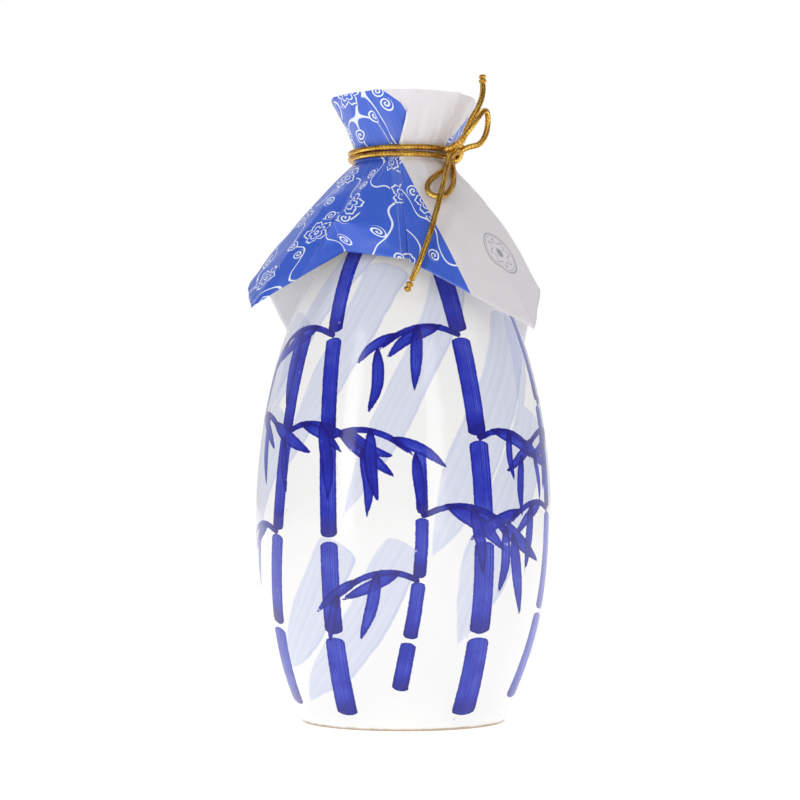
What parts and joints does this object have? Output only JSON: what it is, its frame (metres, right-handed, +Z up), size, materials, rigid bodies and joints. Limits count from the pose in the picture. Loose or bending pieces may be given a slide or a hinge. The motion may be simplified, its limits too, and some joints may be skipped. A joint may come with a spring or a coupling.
{
  "type": "sake bottle",
  "caption": "White glazed porcelain bottle with blue brush strokes, stoppered under a square of patterned paper bound round the neck with gilt cord in a bow.",
  "frame": {"origin": "on the bottle's axis, at the plane that its foot ring stands on", "axes": "+Z up the bottle's axis, the front with the main brush strokes faces -Y, the bow is to the front right at +X -Y"},
  "size_m": [0.094, 0.094, 0.2012],
  "materials": {
    "glaze": "clear gloss glaze on white porcelain, painted in cobalt blue, bare at the foot ring",
    "stopper_wood": "turned, waxed",
    "plug_plastic": "moulded, satin",
    "seal_rubber": "food grade silicone rubber",
    "printed_paper": "gloss coated, printed blue with a white scroll pattern and a white band",
    "gilt_cord": "wound with gilt metallic thread"
  },
  "bodies": {
    "bottle": {"bottle": "glaze"},
    "closure": {"stopper_head": "stopper_wood", "stopper_plug": "plug_plastic", "sealing_ring_upper": "seal_rubber", "sealing_ring_middle": "seal_rubber", "sealing_ring_lower": "seal_rubber", "mouth_gasket": "seal_rubber", "paper_cover": "printed_paper", "cord_turns": "gilt_cord", "cord_knot": "gilt_cord", "bow_loop_right": "gilt_cord", "bow_loop_lower": "gilt_cord", "cord_tail_upper": "gilt_cord", "cord_tail_lower": "gilt_cord", "end_knot_upper": "gilt_cord", "end_knot_lower": "gilt_cord"}
  },
  "joints": [
    {"name": "stopper_pull", "type": "slide", "parent": "bottle", "child": "closure", "axis": [0, 0, 1], "range_m": [0, 0.06]}
  ]
}
